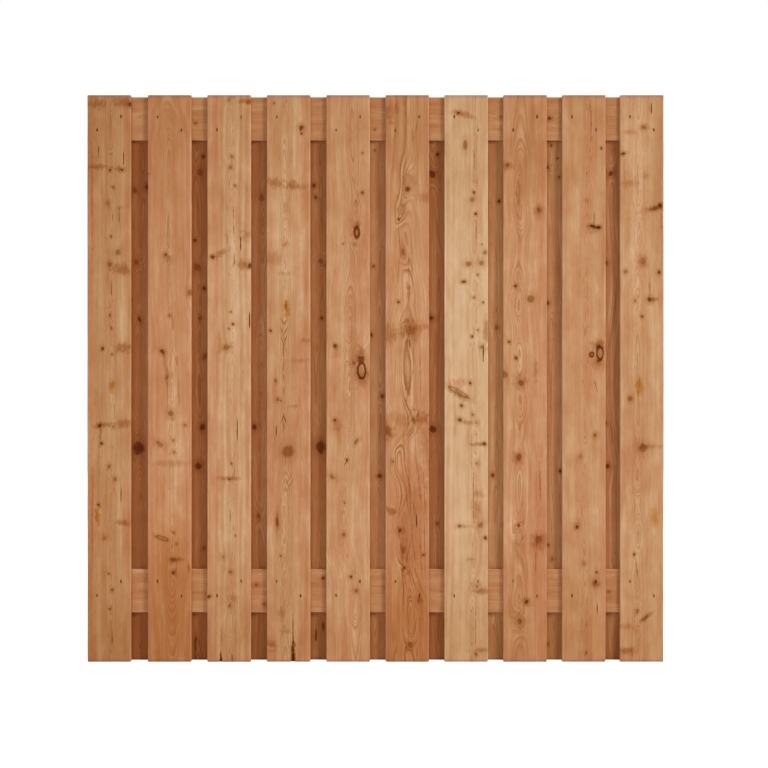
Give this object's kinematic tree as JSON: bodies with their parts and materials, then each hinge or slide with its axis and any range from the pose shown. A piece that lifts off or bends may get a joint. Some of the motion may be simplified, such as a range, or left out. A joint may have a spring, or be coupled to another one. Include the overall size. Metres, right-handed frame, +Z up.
{
  "type": "wooden fence panel",
  "caption": "Upright timber boards nailed in turn to the front and back of two level rails, so that the rear boards close the gaps; a screen for fixing between posts.",
  "frame": {"origin": "middle of the panel's width and thickness, at the lower ends of the boards", "axes": "+X to the right as seen from the front, along the rails; the front faces -Y; +Z up along the boards"},
  "size_m": [1.83, 0.048, 1.8],
  "materials": {
    "front_boards": "planed, unfinished",
    "rear_boards": "planed, unfinished",
    "rails": "planed, unfinished",
    "brads": "dull stainless wire"
  },
  "bodies": {
    "root": {"front_board_01": "front_boards", "front_board_02": "front_boards", "front_board_03": "front_boards", "front_board_04": "front_boards", "front_board_05": "front_boards", "front_board_06": "front_boards", "front_board_07": "front_boards", "front_board_08": "front_boards", "front_board_09": "front_boards", "front_board_10": "front_boards", "rear_board_01": "rear_boards", "rear_board_02": "rear_boards", "rear_board_03": "rear_boards", "rear_board_04": "rear_boards", "rear_board_05": "rear_boards", "rear_board_06": "rear_boards", "rear_board_07": "rear_boards", "rear_board_08": "rear_boards", "rear_board_09": "rear_boards", "top_rail": "rails", "bottom_rail": "rails", "front_brads": "brads", "rear_brads": "brads"}
  },
  "joints": []
}
